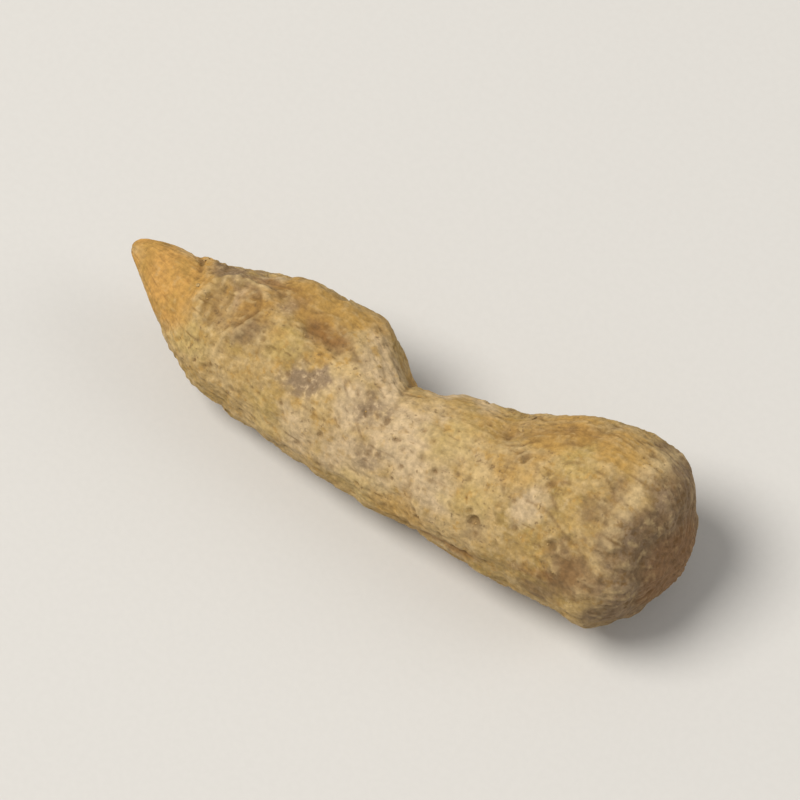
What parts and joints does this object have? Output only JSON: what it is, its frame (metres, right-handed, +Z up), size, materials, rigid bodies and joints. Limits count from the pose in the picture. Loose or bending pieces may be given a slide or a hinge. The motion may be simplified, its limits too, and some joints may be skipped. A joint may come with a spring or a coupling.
{
  "type": "dried turmeric root",
  "caption": "Whole dried turmeric finger: pointed bud, ringed and furrowed skin, a waist, and a thick broken end.",
  "frame": {"origin": "on the surface the root lies on, under the middle of its bounding box", "axes": "+X along the finger from the pointed bud to the thick broken end, +Z up"},
  "size_m": [0.0546, 0.0168, 0.0155],
  "materials": {
    "dried_skin": "matt, fine-grained dried skin, dusted ochre yellow"
  },
  "bodies": {
    "root": {"turmeric_root": "dried_skin"}
  },
  "joints": []
}
